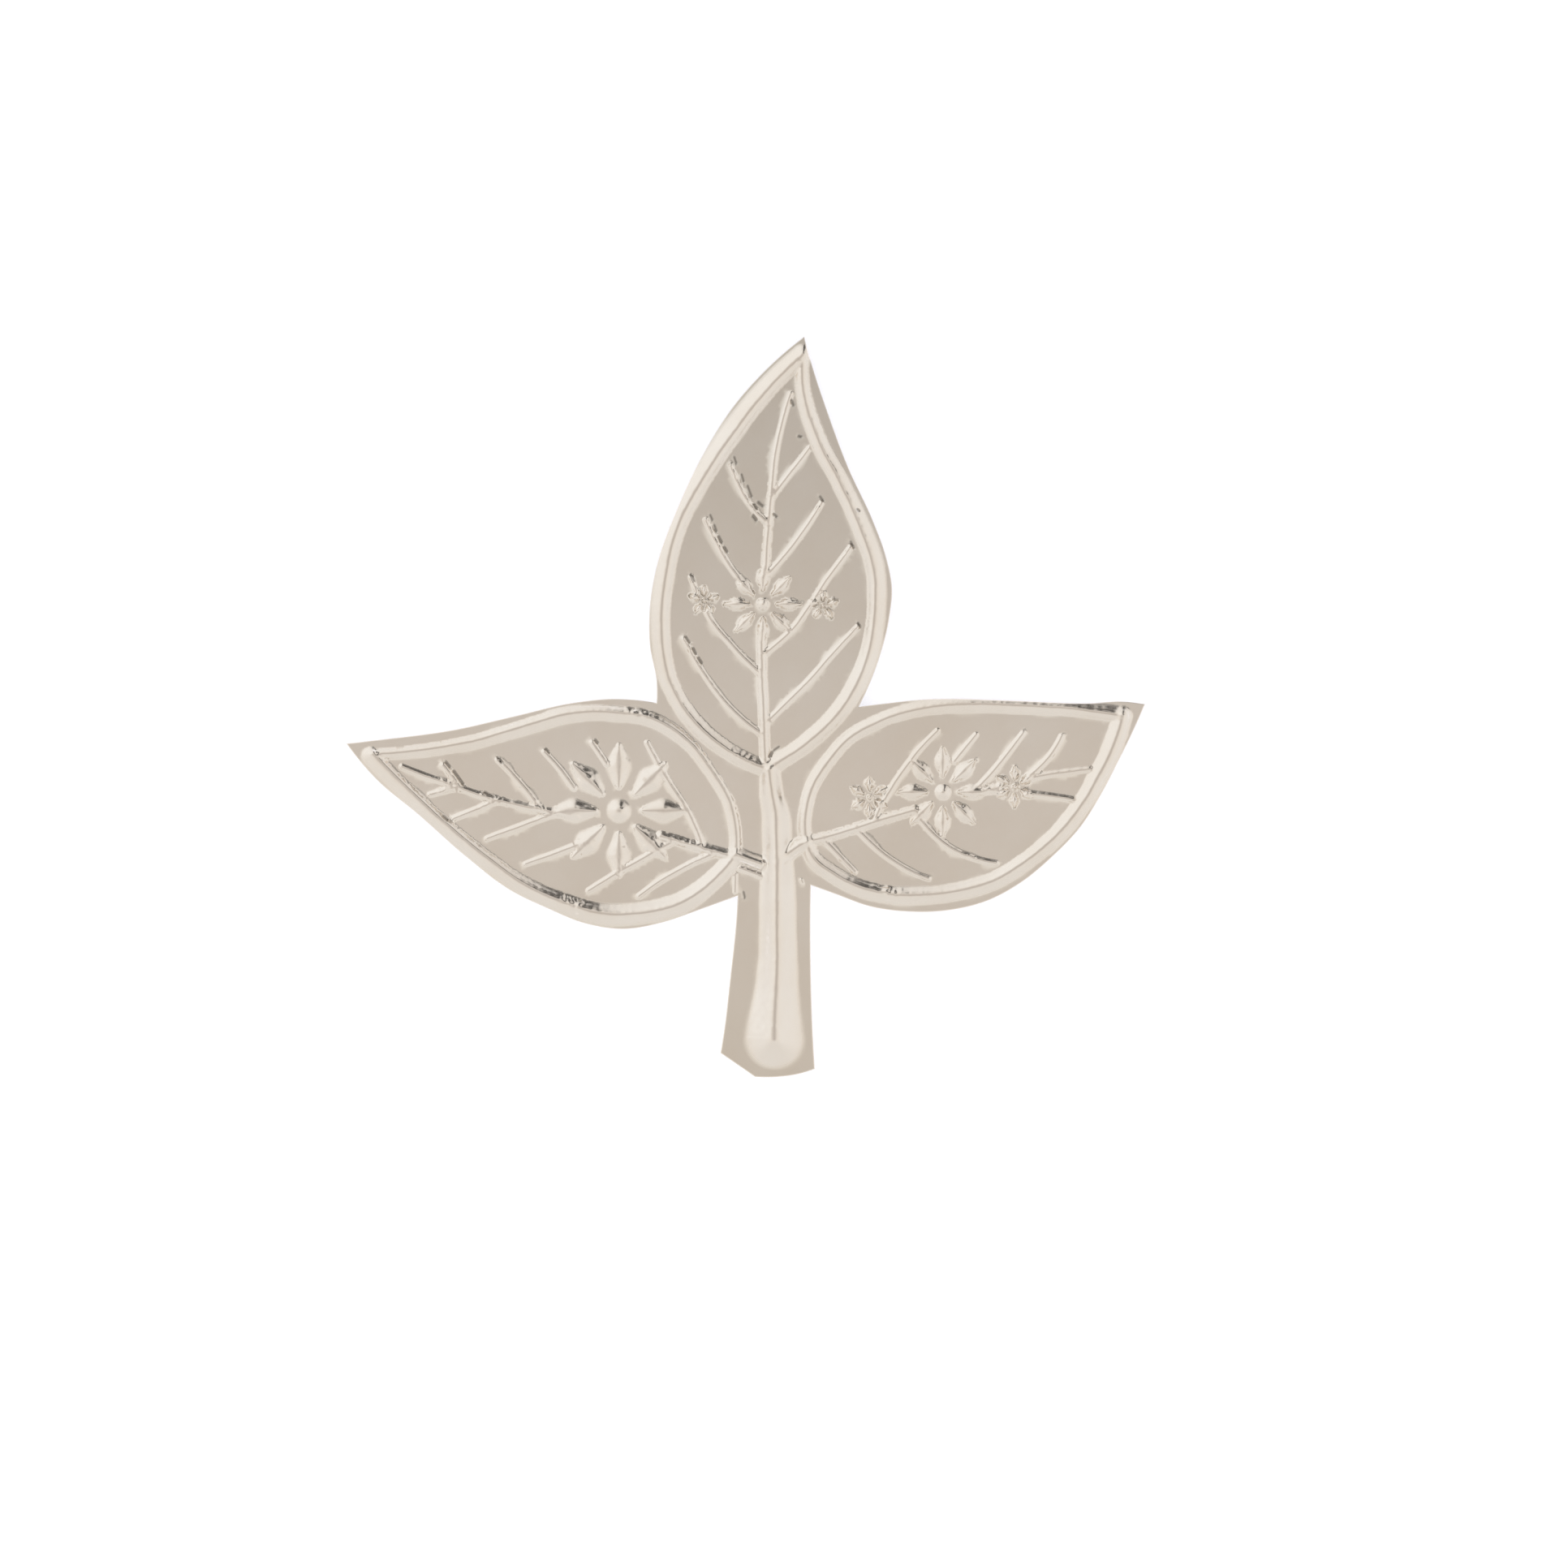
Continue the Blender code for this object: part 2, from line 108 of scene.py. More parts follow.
# The trimmed edge, clockwise from the tip of the middle leaflet, in stretches that meet in corners
OUTLINE = [
    # middle leaflet, right side
    [(4.4, 27.8), (5.1, 25.3), (6.1, 22.3), (7.7, 18.0), (9.6, 13.9), (10.6, 11.1), (11.0, 8.9),
     (10.8, 6.7), (10.1, 3.8), (8.5, 0.0)],
    # right leaflet, upper and then lower side
    [(8.5, 0.0), (10.8, 0.3), (13.8, 0.6), (19.9, 0.5), (25.9, 0.3), (28.4, 0.4), (30.0, 0.2)],
    [(30.0, 0.2), (29.4, -1.2), (28.1, -3.9), (26.7, -6.6), (25.1, -9.1), (23.0, -11.3),
     (20.7, -13.2), (18.1, -14.6), (15.2, -15.3), (12.2, -15.4), (9.3, -15.0), (6.8, -14.1),
     (4.9, -13.4)],
    # stem, down its right side, across its foot and up its left side
    [(4.9, -13.4), (4.9, -19.9), (5.0, -23.5), (5.2, -27.2)],
    [(5.2, -27.2), (3.9, -27.6), (2.4, -27.8), (0.7, -27.8)],
    [(0.7, -27.8), (-1.9, -26.0)],
    [(-1.9, -26.0), (-1.6, -24.1), (-1.2, -20.6), (-0.7, -15.8), (-0.6, -14.2)],
    # left leaflet, lower and then upper side
    [(-0.6, -14.2), (-3.3, -15.2), (-6.2, -16.2), (-9.1, -16.7), (-12.0, -16.3), (-14.8, -15.2),
     (-17.5, -13.9), (-21.1, -11.2), (-24.5, -8.2), (-27.9, -5.3), (-30.0, -2.75)],
    [(-30.0, -2.75), (-27.8, -2.5), (-21.8, -1.7), (-17.4, -0.7), (-13.0, 0.3), (-10.0, 0.6),
     (-6.7, 0.3)],
    # middle leaflet, left side
    [(-6.7, 0.3), (-6.7, 1.8), (-7.2, 4.6), (-7.2, 7.6), (-6.7, 10.6), (-5.2, 14.8),
     (-3.3, 18.8), (-0.9, 22.6), (1.1, 24.9), (4.4, 27.8)],
]

# The raised rims: each one's crest from its leaflet's tip, and spread along that, the half widths
# on the left and on the right of the crest
RIMS = [
    # middle leaflet
    ([(4.3, 26.4), (1.4, 23.5), (-1.0, 20.4), (-3.2, 17.1), (-5.0, 13.7), (-6.0, 9.8),
      (-6.3, 5.9), (-5.7, 2.0), (-3.6, -1.4), (-1.1, -3.4), (1.4, -4.6)],
     (0.75, 0.78, 0.78, 0.75, 0.75, 0.75), (0.95, 1.2, 1.05, 0.9, 0.85, 0.75)),
    ([(4.3, 26.4), (4.3, 24.0), (5.4, 20.2), (7.1, 16.8), (8.7, 13.2), (9.6, 10.4), (9.7, 7.4),
      (9.1, 3.6), (7.4, 0.1), (4.5, -2.8), (1.9, -4.5)],
     (0.6, 0.78, 0.97, 0.97, 0.78, 0.72), (0.6, 0.82, 0.72, 0.68, 0.88, 0.8)),
    # left leaflet
    ([(-27.9, -3.55), (-24.1, -3.2), (-20.2, -2.5), (-16.5, -1.4), (-13.3, -0.5), (-10.0, -0.4),
      (-6.7, -1.0), (-4.1, -2.8), (-2.4, -5.0), (-1.1, -7.3), (-0.7, -9.1), (-0.7, -11.0)],
     (0.5, 0.55, 0.6, 0.62, 0.46, 0.5), (0.6, 0.74, 0.84, 0.8, 0.74, 0.65)),
    ([(-27.9, -3.55), (-25.6, -5.9), (-22.9, -8.4), (-19.8, -11.0), (-16.6, -13.3), (-13.3, -14.8),
      (-10.9, -15.5), (-8.3, -15.5), (-4.8, -14.7), (-2.3, -12.9), (-0.7, -11.1)],
     (0.45, 0.52, 0.62, 0.85, 0.97, 0.8), (1.15, 1.15, 1.05, 1.0, 0.95, 0.8)),
    # right leaflet
    ([(28.3, -0.7), (23.9, -0.1), (20.2, 0.1), (16.5, 0.2), (12.9, -0.2), (10.3, -1.0),
      (7.9, -2.3), (6.1, -4.3), (5.0, -6.1), (4.5, -8.2), (4.6, -10.2)],
     (0.6, 0.72, 0.78, 0.58, 0.58, 0.55), (0.8, 0.8, 0.75, 0.7, 0.7, 0.65)),
    ([(28.3, -0.7), (27.6, -2.9), (26.5, -5.2), (25.2, -7.4), (23.4, -9.6), (21.0, -11.6),
      (18.2, -13.2), (15.9, -13.8), (13.5, -14.1), (10.6, -14.0), (8.5, -13.5), (6.7, -12.6),
      (5.1, -11.3), (4.6, -10.2)],
     (0.85, 0.8, 0.8, 0.86, 0.9, 0.75), (0.9, 0.87, 0.76, 0.74, 0.7, 0.7)),
]

# Each leaflet's midrib from its tip, and its side veins from their outer ends to the midrib
MIDRIBS = [
    [(3.4, 23.5), (2.5, 20.3), (1.8, 14.5), (1.5, 10.4), (1.2, 4.8), (1.3, 0.9), (1.5, -4.4)],
    [(-25.8, -4.5), (-22.6, -5.7), (-19.0, -6.9), (-15.5, -7.7), (-10.0, -8.7), (-5.6, -9.9),
     (-2.2, -10.9), (1.1, -11.7)],
    [(25.9, -4.7), (22.1, -5.2), (17.2, -6.5), (12.9, -7.7), (9.2, -8.8), (6.7, -9.6),
     (4.6, -10.1)],
]
SIDE_VEINS = [
    # middle leaflet
    [(-1.1, 18.1), (-0.6, 16.9), (0.1, 15.5), (1.7, 13.8)],
    [(-3.0, 14.0), (-2.3, 12.6), (-1.0, 10.3), (1.3, 7.9)],
    [(-4.1, 9.7), (-3.6, 8.5), (-2.5, 6.4), (-1.1, 4.7), (1.2, 2.4)],
    [(-4.6, 5.1), (-3.2, 2.6), (-2.0, 0.9), (-0.6, -0.6), (1.4, -2.2)],
    [(4.8, 19.4), (3.4, 17.6), (2.1, 15.9)],
    [(5.7, 15.3), (4.0, 12.7), (1.5, 9.8)],
    [(7.9, 12.0), (6.5, 10.1), (2.9, 5.2), (1.2, 3.8)],
    [(8.4, 6.0), (6.4, 3.8), (4.2, 1.4), (1.4, -1.3)],
    # left leaflet, upper and then lower side
    [(-22.7, -4.4), (-21.4, -6.1)],
    [(-18.6, -4.0), (-17.1, -5.5), (-15.4, -7.7)],
    [(-15.1, -3.4), (-14.0, -4.6), (-12.6, -6.5), (-11.2, -8.5)],
    [(-11.5, -2.7), (-9.7, -5.3), (-8.6, -6.8), (-7.4, -9.3)],
    [(-7.4, -2.7), (-5.7, -5.7), (-4.2, -8.1), (-3.2, -10.6)],
    [(-23.7, -6.6), (-21.5, -6.0)],
    [(-21.9, -8.4), (-18.5, -7.0)],
    [(-19.4, -9.9), (-14.0, -7.9)],
    [(-16.5, -11.8), (-13.0, -10.5), (-9.2, -8.8)],
    [(-11.8, -13.8), (-8.8, -12.0), (-5.2, -10.0)],
    [(-8.0, -14.2), (-5.6, -12.6), (-2.1, -10.9)],
    # right leaflet, upper and then lower side
    [(14.4, -1.8), (12.9, -3.4), (9.6, -8.7)],
    [(17.3, -2.1), (15.3, -4.6), (13.1, -7.6)],
    [(20.8, -2.0), (18.6, -4.8), (16.8, -6.7)],
    [(23.7, -2.2), (21.9, -4.7), (20.5, -5.7)],
    [(8.2, -12.4), (5.7, -9.8)],
    [(13.7, -12.9), (9.9, -10.7), (8.3, -9.1)],
    [(18.8, -11.7), (14.7, -10.1), (12.7, -7.8)],
    [(25.3, -7.1), (22.2, -6.6), (17.9, -6.3)],
]

# The stalks that carry the two side leaflets, and the stem down to its swollen foot, with its half
# widths towards -X and +X
STALKS = [
    [(-0.7, -11.1), (1.2, -11.8)],
    [(4.6, -10.1), (3.6, -10.7), (2.6, -11.7)],
]
STEM = [(1.75, -4.8), (2.0, -6.6), (2.25, -8.0), (2.3, -9.6), (2.35, -14.0), (2.35, -20.0),
        (2.2, -23.0), (2.15, -24.9)]
STEM_LEFT = (0.75, 1.1, 1.17, 1.12, 1.36, 1.45, 1.46, 1.5, 1.7, 2.0, 2.4)
STEM_RIGHT = (1.0, 0.9, 1.3, 1.3, 1.5, 1.55, 1.58, 1.68, 1.8, 2.08, 2.5)

# Small folds where the side leaflets meet the stem: crest, height and half width
FOLDS = [
    ([(-0.75, -12.6), (-0.8, -13.9)], 0.16, 0.27),
    ([(4.2, -13.0), (4.3, -13.2)], 0.12, 0.22),
    ([(-0.4, -12.1), (1.2, -12.7)], 0.2, 0.36),
]

# The flowers on the leaflets: centre, radius and number of petals
FLOWERS = [
    ((-9.5, -7.8), 5.2, 8),
    ((1.3, 7.7), 3.0, 8),
    ((-3.1, 8.0), 1.2, 5),
    ((5.8, 7.6), 1.2, 5),
    ((14.8, -6.4), 3.5, 8),
    ((9.3, -6.8), 1.6, 6),
    ((20.2, -6.0), 1.6, 6),
]
FLOWER_HUB = 0.2                # radius of a flower's central bead, as a share of the flower's
PETAL_START = 0.34              # where its petals begin, as a share of the flower's radius
PETAL_ROOM = 0.8                # how much of the room round the flower the petals fill
FLOWER_COVER = 0.7              # veins and midribs end in it this far out from its centre
FIRST_PETAL = 90.0              # degrees from +X

# Nicks that the punch left by the veins, each from end to end
NICKS = [
    # middle leaflet, right side
    ((4.0, 20.35), (4.2, 20.3)), ((3.45, 23.0), (3.6, 22.65)), ((5.6, 15.8), (5.8, 15.5)),
    ((7.9, 12.4), (8.1, 11.95)), ((8.4, 14.8), (8.5, 14.7)), ((8.45, 6.3), (8.6, 6.0)),
    ((2.15, -3.25), (2.5, -3.0)), ((1.8, -3.75), (2.0, -3.4)),
    # and left side
    ((-0.85, 18.75), (-0.7, 18.3)), ((-0.3, 17.45), (-0.15, 16.95)), ((0.15, 16.6), (0.45, 15.8)),
    ((0.95, 15.4), (1.3, 15.1)), ((0.65, 15.2), (0.8, 14.9)), ((0.55, 14.35), (0.8, 14.0)),
    ((2.15, 14.45), (2.35, 14.3)), ((-2.65, 14.4), (-2.5, 14.05)), ((-2.35, 13.65), (-2.2, 13.2)),
    ((-2.0, 12.8), (-1.8, 12.35)), ((-1.6, 12.0), (-1.4, 11.65)), ((-4.1, 9.95), (-3.9, 9.5)),
    ((-4.5, 5.25), (-4.25, 4.85)), ((-3.95, 4.4), (-3.75, 4.0)), ((-3.55, 3.7), (-3.3, 3.3)),
    # left leaflet and the sheet beside the stem
    ((-22.5, -4.1), (-22.2, -4.5)), ((-21.9, -4.8), (-21.2, -5.8)), ((-18.6, -3.8), (-18.3, -4.2)),
    ((-15.0, -3.15), (-14.8, -3.4)), ((-11.3, -2.45), (-11.1, -2.7)), ((-19.6, -6.4), (-18.9, -6.75)),
    ((-22.7, -8.2), (-22.4, -8.45)), ((-0.15, -13.9), (-0.05, -14.3)),
]
NICK_HALF_WIDTH = 0.17
NICK_DEPTH = 0.08
NICK_POWER = 1.5                # how softly a nick's sides run out
NICK_MIDDLE = 0.5               # a line follows each nick this far out over its half width
NICK_SHADE_SHARE = 0.65             # share of painted shade: a nick's colour goes this far towards a dark tone, standing in for the shade in it

# Places where the punch skidded, so that the ridges there are more dented: middle and radius
SKIDS = [
    ((-0.6, 17.2), 1.3), ((0.7, 15.2), 0.9), ((-2.4, 13.1), 1.5), ((-3.8, 9.2), 0.9), ((-4.1, 4.3), 1.2),
    ((-0.3, -3.6), 1.3), ((-22.6, -5.9), 1.6), ((-18.8, -6.9), 1.6), ((-15.0, -7.8), 1.4),
    ((-4.0, -10.6), 1.6), ((-12.9, -14.8), 1.5), ((-8.0, -0.3), 1.3), ((10.6, -13.9), 1.4),
    ((16.8, -10.8), 1.2), ((19.0, -6.2), 1.2), ((7.6, 11.7), 0.6), ((8.2, 6.0), 0.5), ((5.5, 15.1), 0.5),
]
SKID_DENTS = 6.0                # how many times deeper the dents are there

Ridge = namedtuple("Ridge", "crest left right heights")


def smooth_line(points, step):
    """A smooth line through the points, with a vertex about every step of the way."""
    points = [Vector(point) for point in points]
    chords = [b - a for a, b in zip(points, points[1:])]
    bends = [(a / a.length_squared + b / b.length_squared).normalized()
             for a, b in zip(chords, chords[1:])]
    if not bends:
        bends = [chords[0].normalized()]
    first, last = chords[0].normalized(), chords[-1].normalized()
    tangents = [2 * bends[0].dot(first) * first - bends[0]] + bends
    if len(tangents) < len(points):
        tangents.append(2 * bends[-1].dot(last) * last - bends[-1])
    line = [points[0]]
    for i, chord in enumerate(chords):
        reach = chord.length / 3
        count = max(1, round(chord.length / step)) + 1
        line += interpolate_bezier(points[i], points[i] + tangents[i] * reach,
                                   points[i + 1] - tangents[i + 1] * reach, points[i + 1], count)[1:]
    return np.array([point.to_2d() for point in line])


def ridge(points, heights, left, right=None):
    """A ridge whose heights and half widths are spread evenly along its crest."""
    crest = smooth_line(points, RIDGE_STEP)
    lengths = np.linalg.norm(np.diff(crest, axis=0), axis=1)
    along = np.concatenate(([0.0], np.cumsum(lengths))) / lengths.sum()
    return Ridge(crest, *(np.interp(along, np.linspace(0, 1, len(sizes)), sizes)
                          for sizes in (left, right or left, heights)))


def flower(centre, radius, petals):
    """A bead with raised petals round it."""
    hub = FLOWER_HUB * radius
    bead = [Vector(centre), Vector(centre) + Vector((BEAD_LENGTH, 0.0))]
    ridges = [ridge(bead, (BEAD_HEIGHT, BEAD_HEIGHT), (hub, hub))]
    widest = PETAL_ROOM * pi * radius * (PETAL_START + 1) / 2 / petals
    half_widths = [widest * share for share in PETAL_SHARES]
    end = 1 - half_widths[-1] / radius
    for angle in np.arange(petals) * 2 * pi / petals + radians(FIRST_PETAL):
        out = Vector((np.cos(angle), np.sin(angle)))
        petal = [Vector(centre) + out * radius * share for share in (PETAL_START, end)]
        ridges.append(ridge(petal, PETAL_HEIGHTS, half_widths))
    return ridges


def outside_flowers(one):
    """The stretches of a ridge that the flowers don't cover."""
    clear = np.ones(len(one.crest), bool)
    for centre, radius, _ in FLOWERS:
        clear &= np.linalg.norm(one.crest - np.array(centre), axis=1) > FLOWER_COVER * radius
    ends = np.flatnonzero(np.diff(np.concatenate(([False], clear, [False])).astype(int)))
    return [Ridge(*(values[a:b] for values in one)) for a, b in zip(ends[::2], ends[1::2]) if b - a > 1]


def all_ridges():
    """Every ridge that is pressed into the sheet."""
    ridges = []
    for points, left, right in RIMS:
        heights = [RIM_STEEPNESS * (a + b) / 2 for a, b in zip(left, right)]
        ridges.append(ridge(points, heights, left, right))
    for points in MIDRIBS:
        ridges += outside_flowers(ridge(points, MIDRIB_HEIGHTS, MIDRIB_HALF_WIDTHS))
    for points in SIDE_VEINS:
        ridges += outside_flowers(ridge(points, VEIN_HEIGHTS, VEIN_HALF_WIDTHS))
    ridges += [ridge(points, STALK_HEIGHTS, STALK_HALF_WIDTHS) for points in STALKS]
    ridges.append(ridge(STEM, STEM_HEIGHTS, STEM_RIGHT, STEM_LEFT))
    for points, height, half_width in FOLDS:
        ridges.append(ridge(points, (height, height), (half_width, half_width)))
    for centre, radius, petals in FLOWERS:
        ridges += flower(centre, radius, petals)
    return ridges


def across(points, one):
    """How far out over a ridge each point lies (0 on the crest, 1 at the foot), and the ridge's half
    width and height there."""
    outward = np.full(len(points), np.inf)
    half_width = np.ones(len(points))
    height = np.zeros(len(points))
    run = np.diff(one.crest, axis=0)
    margin = 2 * max(one.left.max(), one.right.max())
    for first in range(0, len(run), CREST_PART):
        part = slice(first, first + CREST_PART)
        stretch = one.crest[first:first + CREST_PART + 1]
        low, high = stretch.min(0) - margin, stretch.max(0) + margin
        near = np.flatnonzero(((points > low) & (points < high)).all(1))
        if not len(near):
            continue
        offset = points[near][:, None] - one.crest[:-1][part]
        share = np.clip((offset * run[part]).sum(2) / (run[part] ** 2).sum(1), 0, 1)
        offset -= share[..., None] * run[part]
        distance = np.linalg.norm(offset, axis=2)
        turn = run[part, 0] * offset[..., 1] - run[part, 1] * offset[..., 0]
        lean = turn / (np.linalg.norm(run[part], axis=1) * distance + TINY)
        left, right, rise = (sizes[:-1][part] + share * np.diff(sizes)[part] for sizes in one[1:])
        reach = (left + right + lean * (left - right)) / 2
        out = distance / reach
        nearest = out.argmin(1)
        rows = np.arange(len(near))
        closer = out[rows, nearest] < outward[near]
        for values, found in ((outward, out), (half_width, reach), (height, rise)):
            values[near[closer]] = found[rows, nearest][closer]
    return outward, half_width, height


def wave(points, length, seed):
    """Uneven waves between -1 and 1, which are the same each time for the same seed."""
    return np.array([noise.noise(Vector((x / length, y / length, seed))) for x, y in points])


def skidding(points):
    """How many times deeper the dents are at each point."""
    deeper = np.ones(len(points))
    for middle, radius in SKIDS:
        out = np.linalg.norm(points - np.array(middle), axis=1) / radius
        deeper = np.maximum(deeper, 1 + (SKID_DENTS - 1) * np.clip(1 - out ** 2, 0, None))
    return deeper


def nick_lines(reach):
    """The nicks in the form of ridges, for this share of their half width."""
    return [ridge(ends, (0, 0), (reach * NICK_HALF_WIDTH, reach * NICK_HALF_WIDTH)) for ends in NICKS]


def nick_depth(points):
    """How deep in a nick each point lies: 0 outside and 1 along its bottom."""
    deep = np.zeros(len(points))
    for one in nick_lines(1):
        deep = np.maximum(deep, np.clip(1 - across(points, one)[0] ** 2, 0, None) ** NICK_POWER)
    return deep


def bent(distance):
    """How far a sheet that is bent round over a crest falls at this distance from it."""
    return np.hypot(distance, CREST_RADIUS) - CREST_RADIUS


def relief(points, ridges):
    """The height of the pressed surface over the flat sheet."""
    strayed = np.column_stack([wave(points, LINE_WOBBLE_LENGTH, seed) for seed in LINE_WOBBLE_SEEDS])
    strayed = points + LINE_WOBBLE * strayed
    total = np.zeros(len(points))
    for one in ridges:
        outward, half_width, height = across(strayed, one)
        fallen = bent(outward * half_width) / bent(half_width)
        raised = height * np.clip(1 - fallen, 0, None) ** SLOPE_POWER
        total += raised ** JOIN_POWER
    pressed = total ** (1 / JOIN_POWER)
    dented = np.clip(pressed / DENTED_FROM, 0, 1) ** 2
    dents = wave(points, RIDGE_DENT_SIZE, RIDGE_DENT_SEED)
    pressed += RIDGE_DENTS * dented * skidding(points) * dents
    pressed -= NICK_DEPTH * nick_depth(points)
    return pressed + GROUND_WAVE * wave(points, GROUND_WAVE_LENGTH, GROUND_WAVE_SEED)


def loop_round(one):
    """A closed loop round the foot of a ridge."""
    along = np.gradient(one.crest, axis=0)
    along /= np.linalg.norm(along, axis=1)[:, None]
    side = np.column_stack((-along[:, 1], along[:, 0]))

    def cap(end, turn):
        reach = (one.left[end] + one.right[end]) / 2
        segments = max(END_SEGMENTS, round(pi * reach / RIDGE_STEP))
        angles = np.linspace(0, pi, segments + 1)[1:-1, None]
        return one.crest[end] + turn * reach * (np.cos(angles) * side[end] + np.sin(angles) * along[end])

    left, right = one.crest + side * one.left[:, None], one.crest - side * one.right[:, None]
    return np.vstack((left, cap(-1, 1), right[::-1], cap(0, -1)))


def inside(points, outline):
    """Which points lie within the outline."""
    odd = np.zeros(len(points), bool)
    x, y = points[:, 0], points[:, 1]
    for (x0, y0), (x1, y1) in zip(outline, np.roll(outline, -1, axis=0)):
        if y0 != y1:
            odd ^= ((y0 > y) != (y1 > y)) & (x < x0 + (y - y0) / (y1 - y0) * (x1 - x0))
    return odd


def inset(outline, distance):
    """The outline moved inwards; it runs clockwise, so inwards is to the right."""
    before = outline - np.roll(outline, 1, axis=0)
    after = np.roll(outline, -1, axis=0) - outline
    normals = [np.column_stack((step[:, 1], -step[:, 0])) / np.linalg.norm(step, axis=1)[:, None]
               for step in (before, after)]
    middle = normals[0] + normals[1]
    middle /= np.linalg.norm(middle, axis=1)[:, None]
    mitre = np.clip((middle * normals[0]).sum(1), MITRE_LIMIT, 1)
    return outline + middle * (distance / mitre)[:, None]


def guide_lines(ridges, limit):
    """The lines along and round each ridge and nick that points of the sheet follow. With each go
    which of its points count and whether it closes."""
    for i, one in enumerate(ridges):
        others = ridges[:i] + ridges[i + 1:]
        yield one.crest, inside(one.crest, limit), False
        foot = loop_round(one)
        keep = inside(foot, limit) & (across(foot, one)[0] > OWN_FOOT)
        for other in others:
            keep &= across(foot, other)[0] > BURIED
        yield foot, keep, True
        shoulders = [np.minimum(SHOULDER, SHOULDER_SHARE * width) for width in (one.left, one.right)]
        shoulder = loop_round(Ridge(one.crest, *shoulders, one.heights))
        keep = inside(shoulder, limit)
        for other in others:
            keep &= across(shoulder, other)[0] > 1
        yield shoulder, keep, True
    for one in nick_lines(1):
        yield one.crest, inside(one.crest, limit), False
    for one in nick_lines(NICK_MIDDLE) + nick_lines(1):
        loop = loop_round(one)
        yield loop, inside(loop, limit), True


def filling_points(outline, limit, ridges, followed):
    """A triangular grid, finer on the ridges than on the level ground, that keeps clear of the points
    on the lines."""
    low, high = outline.min(0), outline.max(0)
    row_height = RIDGE_STEP * 3 ** 0.5 / 2
    rows = np.arange(0, (high - low)[1] / row_height).astype(int)
    columns = np.arange(0, (high - low)[0] / RIDGE_STEP).astype(int)
    column, row = (values.ravel() for values in np.meshgrid(columns, rows))
    grid = low + np.column_stack(((column + (row % 2) / 2) * RIDGE_STEP, row * row_height))
    raised = np.zeros(len(grid), bool)
    for one in ridges:
        narrowest = min(one.left.min(), one.right.min())
        raised |= across(grid, one)[0] < 1 + FINE_BEYOND * RIDGE_STEP / narrowest
    even_row = (row // GROUND_STEP % 2) * (GROUND_STEP // 2)
    coarse = (row % GROUND_STEP == 0) & ((column + even_row) % GROUND_STEP == 0)
    grid = grid[(raised | coarse) & inside(grid, limit)]

    def squares(points):
        return ((points - low) / CLEARANCE).astype(int) + 1

    # each point on a line takes up the small square that it falls in and the eight round that
    taken = np.zeros(squares(high) + 3, bool)
    filled = squares(followed)
    for right in (-1, 0, 1):
        for up in (-1, 0, 1):
            taken[filled[:, 0] + right, filled[:, 1] + up] = True
    return grid[~taken[tuple(squares(grid).T)]]


def plan_of_sheet(ridges):
    """The flat plan as points and triangles, and how far each point lies in from the trimmed edge."""
    outline = np.vstack([smooth_line(stretch, EDGE_STEP)[:-1] for stretch in OUTLINE])
    limit = inset(outline, EDGE_ROUND + CLEARANCE)
    lines = [(inset(outline, depth), np.ones(len(outline), bool), True) for depth in EDGE_DEPTHS]
    lines += guide_lines(ridges, limit)
    points, edges, total = [], [], 0
    for line, keep, closed in lines:
        place = np.where(keep, total + np.cumsum(keep) - 1, -1)
        pairs = list(zip(place, place[1:])) + ([(place[-1], place[0])] if closed else [])
        edges += [(int(a), int(b)) for a, b in pairs if a >= 0 and b >= 0]
        points.append(line[keep])
        total += int(keep.sum())
    followed = np.vstack(points[len(EDGE_DEPTHS):])
    points.append(filling_points(outline, limit, ridges, followed))

    only_inside = 1
    flat, _, faces, sources, *_ = delaunay_2d_cdt(
        [Vector(point) for point in np.vstack(points)], edges, [], only_inside, MERGE)
    depth = np.full(len(flat), EDGE_ROUND)
    for i, source in enumerate(sources):
        if source and source[0] < len(EDGE_DEPTHS) * len(outline):
            depth[i] = EDGE_DEPTHS[source[0] // len(outline)]
    return np.array([point.to_tuple() for point in flat]), faces, depth


def put_attribute(mesh, name, values):
    """Writes a number or a vector for each vertex, which the tools then carry along."""
    vectors = values.ndim == 2
    attribute = mesh.attributes.new(name, "FLOAT_VECTOR" if vectors else "FLOAT", "POINT")
    attribute.data.foreach_set("vector" if vectors else "value", values.ravel())


def read_attribute(mesh, name, width=1):
    """Reads a value for each vertex."""
    values = np.zeros(len(mesh.vertices) * width)
    mesh.attributes[name].data.foreach_get("vector" if width == 3 else "value", values)
    return values.reshape(-1, width) if width > 1 else values


def flat_sheet(flat, faces, values):
    """The plan as a flat sheet of full thickness, with these values at its points."""
    mesh = bpy.data.meshes.new("embossed_leaf")
    mesh.from_pydata([(x * MM, y * MM, 0.0) for x, y in flat], [], faces)
    for name, numbers in values.items():
        put_attribute(mesh, name, numbers)
    leaf = bpy.data.objects.new("embossed_leaf", mesh)
    bpy.context.scene.collection.objects.link(leaf)
    bpy.ops.object.select_all(action="DESELECT")
    bpy.context.view_layer.objects.active = leaf
    leaf.select_set(True)
    bpy.ops.object.mode_set(mode="EDIT")
    bpy.ops.mesh.select_all(action="SELECT")
    bpy.ops.mesh.extrude_region_move(TRANSFORM_OT_translate={"value": (0, 0, SHEET_THICKNESS * MM)})
    bpy.ops.mesh.select_all(action="SELECT")
    bpy.ops.mesh.normals_make_consistent(inside=False)
    bpy.ops.object.mode_set(mode="OBJECT")
    return leaf


